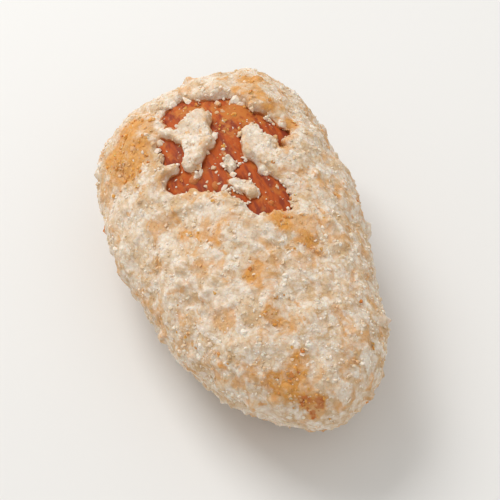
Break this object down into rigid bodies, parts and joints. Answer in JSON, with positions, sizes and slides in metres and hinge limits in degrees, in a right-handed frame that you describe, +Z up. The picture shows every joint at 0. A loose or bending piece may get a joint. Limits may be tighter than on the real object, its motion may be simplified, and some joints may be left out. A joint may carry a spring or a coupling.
{
  "type": "toffee-coated almond",
  "caption": "Almond in a crumbly, lumpy toffee coat, lying on its broad side, with a ragged window in the top where the coat has flaked off the skin.",
  "frame": {"origin": "on the flat spot that the almond rests on, under the middle of its bounding box", "axes": "+X along the almond towards its narrow end, +Z up through its thickness"},
  "size_m": [0.0258, 0.0158, 0.0115],
  "materials": {
    "toffee_coat": "matte, crumbly cream toffee with golden patches, red-brown almond skin in its window"
  },
  "bodies": {
    "root": {"toffee_coated_almond": "toffee_coat"}
  },
  "joints": []
}
